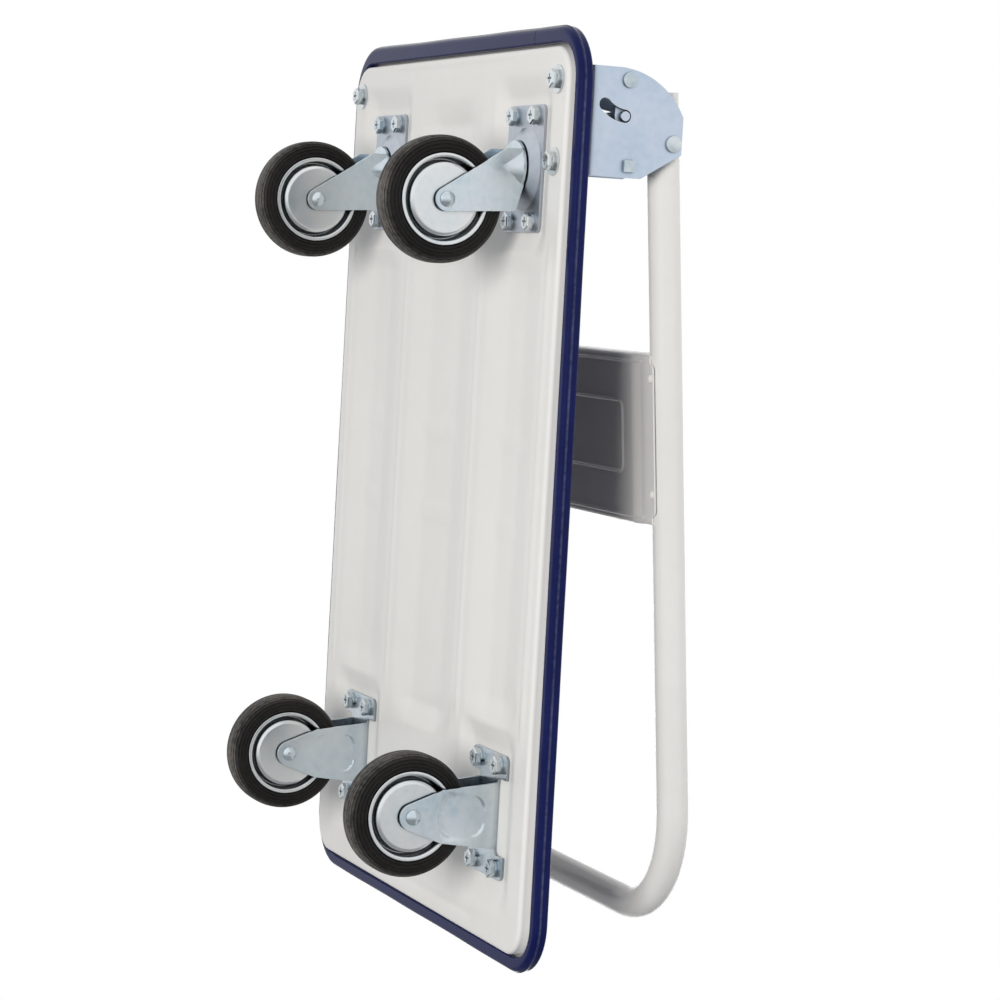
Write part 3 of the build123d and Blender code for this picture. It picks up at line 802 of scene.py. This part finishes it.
def make_bumper():
    """The outer side follows the strip's outline, let in by two slow waves; the inner stands off the wall.

    Bottom and top go straight from the left side's levels to the right side's, which climb along the deck.
    """
    outer, inner, wear_and_highlight = strip_sections()
    places, ways = outline(strip_x, strip_half_length, strip_half_width, strip_corner)
    places[:, 0] -= strip_skew * places[:, 1] / strip_half_width
    wall, wall_ways = outline(deck_x, deck_half_length, deck_half_width, deck_corner)
    along = np.concatenate([[0], np.cumsum(np.hypot(*np.diff(places, axis=0).T))])
    short, long = strip_wave_lengths
    waver = strip_wave * (np.sin(along / short) + np.sin(along / long + 1) - 2) / 4
    reach = outer[0][None, :] + waver[:, None]
    flat = np.concatenate(
        [
            places[:, None] + ways[:, None] * reach[..., None],
            wall[:, None] + wall_ways[:, None] * inner[0][None, :, None],
        ],
        1,
    )
    rightness = 0.5 - places[:, 1:] / (2 * strip_half_width)
    climb = strip_right_climb * (0.5 + places[:, :1] / (2 * strip_half_length))
    low, high = (
        left + (right + climb - left) * rightness for left, right in zip(strip_left_level, strip_right_level)
    )
    share, lift = np.concatenate([outer[1:], inner[1:]], 1)[:, None, :]
    height = low + (high - low) * share + lift
    points = np.concatenate([flat, height[..., None]], -1)
    rows, columns = flat.shape[:2]
    ends = [[end * columns + point for point in range(columns)] for end in (0, rows - 1)]
    faces = grid_faces(rows, columns, wrap_columns=True)
    strip = put_mesh("bumper_strip", points, faces, "chassis", "bumper_vinyl", ["bumper"], ends)
    strip.modifiers.new("soft_shading", "NODES").node_group = soft_shading
    put_wear_and_highlight(strip, np.tile(wear_and_highlight, rows))


make_bumper()


# Mat: fine ribs along the deck, on the plain mat

def make_mat_ribs():
    """Height over the mat is a power of a raised cosine across each rib, and falls to the mat at the ends."""
    ribs = int(2 * mat_field_half_width / mat_rib_pitch)
    across = np.linspace(-mat_field_half_width, mat_field_half_width, ribs * mat_rib_points + 1)
    low, high = mat_field_x
    inner = np.linspace(low + mat_field_edge, high - mat_field_edge, mat_rib_rows)
    along = np.concatenate([[low], inner, [high]])
    x, y = np.meshgrid(along, across, indexing="ij")
    rise = mat_rib_rise * (0.5 + 0.5 * np.cos(2 * pi * y / mat_rib_pitch)) ** mat_rib_fullness
    between_ends = (x > low) & (x < high)
    z = mat_level + np.where(between_ends, rise, 0) - mat_rib_sink
    faces = grid_faces(*x.shape)[:, ::-1]
    put_mesh("mat_ribs", np.stack([x, y, z], -1), faces, "chassis", "mat_rubber", sheet=mat_rib_sheet)


make_mat_ribs()


# Handle panel: pressed sheet with rolled edges, whose ends lie on the tubes as tabs

def panel_section(half):
    """Place along the handle and rise over the panel's face: flange, roll, flat, roll and flange."""
    turn = np.linspace(0, pi / 2, panel_roll_points)
    flat = np.linspace(-half + panel_roll, half - panel_roll, panel_flat_points)
    roll = half - panel_roll + panel_roll * np.sin(turn)
    roll_rise = panel_roll * (1 - np.cos(turn))
    flange = np.array([panel_flange - panel_flange_edge, panel_flange])
    along = np.concatenate([[-half, -half], -roll[:0:-1], flat, roll[1:], [half, half]])
    rise = np.concatenate([flange[::-1], roll_rise[:0:-1], np.zeros(flat.shape), roll_rise[1:], flange])
    return along, rise


def make_panel():
    """The section is carried across the handle, each line as far as the tube lets it reach.

    The face ends in tabs with round corners on the tubes, and the flanges stop at the tubes' sides. The
    middle stands out towards the deck, with a raised line round a field in it and one along each flange.
    """
    middle, half = sum(panel_span) / 2, (panel_span[1] - panel_span[0]) / 2
    along, rise = panel_section(half)
    tube_depth = np.clip(np.abs(panel_face + rise), 0, tube_radius)
    to_tube = tube_y - np.sqrt(tube_radius**2 - tube_depth**2) - panel_tube_gap
    past_tab = np.abs(along) - half + panel_tab_inset
    into_corner = np.clip(past_tab / panel_tab_corner + 1, 0, 1)
    tab_end = panel_half_width - panel_tab_corner * (1 - np.sqrt(1 - into_corner**2))
    end = np.where(past_tab < 0, tab_end, to_tube)
    plain = np.linspace(0, panel_plain_share, panel_plain_points)
    fine = np.linspace(panel_fine_share, 1, panel_fine_points)
    share = np.concatenate([-fine[::-1], -plain[:0:-1], plain, fine])
    y = end[:, None] * share[None, :]
    u = np.broadcast_to(along[:, None], y.shape)
    across = np.abs(y)
    joggle_from, joggle_to = panel_joggle
    bulge = panel_bulge * (1 - smooth_step((across - joggle_from) / (joggle_to - joggle_from)))
    frame_from, frame_to, frame_side = panel_frame
    frame_middle, frame_half = (frame_from + frame_to) / 2, (frame_to - frame_from) / 2
    out_u = np.abs(u + middle - frame_middle) - frame_half + panel_frame_corner
    out_y = across - frame_side + panel_frame_corner
    to_frame = np.hypot(np.maximum(out_u, 0), np.maximum(out_y, 0)) + np.minimum(np.maximum(out_u, out_y), 0)
    frame_line = hump((to_frame - panel_frame_corner) / panel_line_half_width)
    edge_line = hump((np.abs(u) - half + panel_line_inset) / panel_line_half_width) * (across < joggle_to)
    n = panel_face + rise[:, None] - bulge - panel_line_rise * np.maximum(frame_line, edge_line)
    u = u + middle
    x = pivot_x + u * cos(folded_angle) - n * sin(folded_angle)
    z = pivot_z + u * sin(folded_angle) + n * cos(folded_angle)
    points = np.stack([x, y, z], -1)
    faces = grid_faces(*u.shape)
    put_mesh(
        "panel_pressing",
        points,
        faces,
        "handle",
        "cream_paint",
        ["handle_panel"],
        sheet=panel_sheet,
        finish="panel_paint",
    )


make_panel()


# Tyres: a rounded section with grooves, turned about the axle

def tyre_section():
    """Distance along the axle and radius of the tyre's section, from bead over tread to bead, and how pale it
    is painted, partly scuffing and partly a painted sheen.

    Half of it is a straight wall, a quarter circle and a flat crown, followed by length from the rim;
    grooves at even steps along that length go in square to it.
    """
    wall_run = tyre_radius - tyre_shoulder - tyre_wall_start
    arc_run = tyre_shoulder * pi / 2
    length = wall_run + arc_run + tyre_half_width - tyre_shoulder
    travel = np.linspace(0, length, tyre_half_points)
    turn = np.clip((travel - wall_run) / tyre_shoulder, 0, pi / 2)
    step = length / (tyre_grooves + 0.5)
    groove = groove_depth * hump((travel % step - step / 2) / groove_half_width)
    groove = np.where(travel < tyre_grooves * step, groove, 0)
    bend = tyre_shoulder - groove
    out = tyre_half_width - tyre_shoulder - np.maximum(travel - wall_run - arc_run, 0) + bend * np.cos(turn)
    radius = tyre_radius - tyre_shoulder + np.minimum(travel - wall_run, 0) + bend * np.sin(turn)
    # Pale over the shoulder and crown, not in the grooves: partly scuffing and partly a painted sheen.
    wear_and_highlight = tyre_wear_and_sheen * smooth_step(turn / tyre_wear_and_sheen_angle - 0.5) * (1 - groove / groove_depth)
    half = np.concatenate([tyre_bead, np.stack([out, radius], -1)])
    wear_and_highlight = np.concatenate([np.zeros(len(tyre_bead)), wear_and_highlight])
    return np.concatenate([half, half[-2::-1] * [-1, 1]]), np.concatenate([wear_and_highlight, wear_and_highlight[-2::-1]])


def make_tyre(spot, x, y):
    """Every section point goes round the axle in even steps."""
    section, wear_and_highlight = tyre_section()
    angle = np.linspace(0, 2 * pi, tyre_round_points, endpoint=False)[:, None]
    out, radius = section.T[:, None, :]
    along, up = x + radius * np.cos(angle), axle_z + radius * np.sin(angle)
    points = np.stack(np.broadcast_arrays(along, y + out, up), -1)
    faces = grid_faces(len(angle), len(section), wrap_rows=True, wrap_columns=True)
    tyre = put_mesh(f"tyre_moulding_{spot}", points, faces, f"wheel_{spot}", "tyre_rubber", [f"tyre_{spot}"])
    put_wear_and_highlight(tyre, np.tile(wear_and_highlight, len(angle)))


for spot, (x, y) in wheel_spots.items():
    make_tyre(spot, x, y)


# Latch springs: round wire along a helix with two straight legs

def make_springs():
    """Wire points are the helix's points plus a circle across its direction, mirrored for the right side."""
    turn = np.linspace(0, spring_turns, spring_turn_points * spring_turns + 1)
    angle = 2 * pi * turn
    x = np.pad(spring_radius * np.cos(angle), 2, constant_values=spring_radius)
    leg = np.array([spring_leg_gap, spring_leg])
    z = np.concatenate([-leg[::-1], spring_radius * np.sin(angle), leg])
    y = np.pad(spring_pitch * turn, 2, mode="edge")
    line = np.stack([x, y, z], -1) + spring_place
    way = np.gradient(line, axis=0)
    way /= np.linalg.norm(way, axis=1, keepdims=True)
    first = np.cross(way, (0.0, 1.0, 0.0))
    first /= np.linalg.norm(first, axis=1, keepdims=True)
    second = np.cross(way, first)
    circle = np.linspace(0, 2 * pi, spring_wire_sides, endpoint=False)[None, :, None]
    ring = first[:, None] * np.cos(circle) + second[:, None] * np.sin(circle)
    wire = line[:, None] + spring_wire * ring
    faces = grid_faces(*wire.shape[:2], wrap_columns=True)
    left = wire.reshape(-1, 3)
    count = len(left)
    both = np.concatenate([left, left * [1, -1, 1]])
    all_faces = np.concatenate([faces, faces + count])
    end_starts = [side + end for side in (0, count) for end in (0, count - spring_wire_sides)]
    caps = [list(range(start, start + spring_wire_sides)) for start in end_starts]
    put_mesh("spring_wire", both, all_faces, "chassis", "spring_steel", ["latch_springs"], caps)


make_springs()


# Stage: pale floor that the camera can look up through, white surroundings and soft lamps

def make_floor():
    """A pale floor, seen only from above, that turns to plain white far from the cart."""
    material = bpy.data.materials.new("pale_floor")
    material.use_nodes = True
    tree = material.node_tree
    tree.nodes.remove(tree.nodes["Principled BSDF"])
    pale = add_node(tree, "ShaderNodeBsdfDiffuse", {"Color": floor_tone})
    white = add_node(tree, "ShaderNodeEmission", {"Color": (1, 1, 1, 1)})
    clear = tree.nodes.new("ShaderNodeBsdfTransparent")
    place = add_node(tree, "ShaderNodeTexCoord").outputs["Object"]
    far = add_node(tree, "ShaderNodeVectorMath", {0: place}, operation="LENGTH").outputs["Value"]
    fade = spread(tree, far, *floor_fade)
    upper = add_node(tree, "ShaderNodeMixShader", {0: fade, 1: pale.outputs[0], 2: white.outputs[0]})
    below = add_node(tree, "ShaderNodeNewGeometry").outputs["Backfacing"]
    sides = add_node(tree, "ShaderNodeMixShader", {0: below, 1: upper.outputs[0], 2: clear.outputs[0]})
    tree.links.new(sides.outputs[0], tree.nodes["Material Output"].inputs["Surface"])
    mesh = bpy.data.meshes.new("floor")
    corners = [(floor_half * x, floor_half * y, 0) for x, y in ((-1, -1), (1, -1), (1, 1), (-1, 1))]
    mesh.from_pydata(corners, [], [(0, 1, 2, 3)])
    mesh.materials.append(material)
    floor = bpy.data.objects.new("floor", mesh)
    bpy.context.scene.collection.objects.link(floor)
    floor.visible_diffuse = False
    floor.visible_glossy = False
    floor.visible_transmission = False
    floor.visible_shadow = False


def make_world(light, front, low):
    """White to the eye, and even light on the cart.

    Reflections show white behind and over the hinge end, greyer towards the front and towards the fixed end.
    """
    world = bpy.data.worlds.new("studio")
    world.use_nodes = True
    tree = world.node_tree
    tree.nodes.clear()
    ray = tree.nodes.new("ShaderNodeLightPath").outputs
    way = add_node(tree, "ShaderNodeTexCoord").outputs["Generated"]
    parts = add_node(tree, "ShaderNodeSeparateXYZ", {"Vector": way}).outputs
    forward = {"Value": parts["Y"], "From Min": -0.8, "From Max": 0.3, "To Min": front}
    downward = {"Value": parts["X"], "From Min": 0.5, "From Max": -0.05, "To Min": low}
    shades = [add_node(tree, "ShaderNodeMapRange", shade).outputs["Result"] for shade in (forward, downward)]
    mirrored = larger(tree, ray["Is Glossy Ray"], ray["Is Transmission Ray"])
    room_light = multiply(tree, *shades)
    white = (1, 1, 1, 1)
    soft = add_node(tree, "ShaderNodeBackground", {"Color": sky_tone, "Strength": light}).outputs[0]
    room = add_node(tree, "ShaderNodeBackground", {"Color": white, "Strength": room_light}).outputs[0]
    clean = add_node(tree, "ShaderNodeBackground", {"Color": white, "Strength": 1}).outputs[0]
    lit = add_node(tree, "ShaderNodeMixShader", {0: mirrored, 1: soft, 2: room}).outputs[0]
    seen = add_node(tree, "ShaderNodeMixShader", {0: ray["Is Camera Ray"], 1: lit, 2: clean}).outputs[0]
    tree.links.new(seen, tree.nodes.new("ShaderNodeOutputWorld").inputs["Surface"])
    bpy.context.scene.world = world


def make_lamp(name, place, power, mirrored=True):
    """A square, slightly warm soft lamp that faces the cart's middle, and shows in its metal if mirrored."""
    light = bpy.data.lights.new(name, "AREA")
    light.size = lamp_size
    light.energy = power
    light.color = lamp_tone
    lamp = bpy.data.objects.new(name, light)
    lamp.location = place
    lamp.rotation_mode = "QUATERNION"
    lamp.rotation_quaternion = (lamp_aim - Vector(place)).to_track_quat("-Z", "Y")
    lamp.visible_glossy = mirrored
    bpy.context.scene.collection.objects.link(lamp)


def make_camera():
    data = bpy.data.cameras.new("camera")
    data.lens = camera_lens
    data.clip_end = 100
    camera = bpy.data.objects.new("camera", data)
    camera.location = camera_place
    camera.rotation_mode = "QUATERNION"
    level_view = (camera_aim - camera_place).to_track_quat("-Z", "Y")
    camera.rotation_quaternion = level_view @ Quaternion((0, 0, 1), camera_roll)
    bpy.context.scene.collection.objects.link(camera)
    bpy.context.scene.camera = camera


make_floor()
make_world(light=0.37, front=0.98, low=0.35)
make_lamp("under_key", under_lamp, power=80, mirrored=False)
make_lamp("under_glint", under_lamp, power=27)
make_lamp("top_key", top_lamp, power=22, mirrored=False)
make_lamp("top_glint", top_lamp, power=14)
make_lamp("far_fill", far_lamp, power=13)
make_camera()
bpy.context.scene.view_settings.view_transform = "Standard"
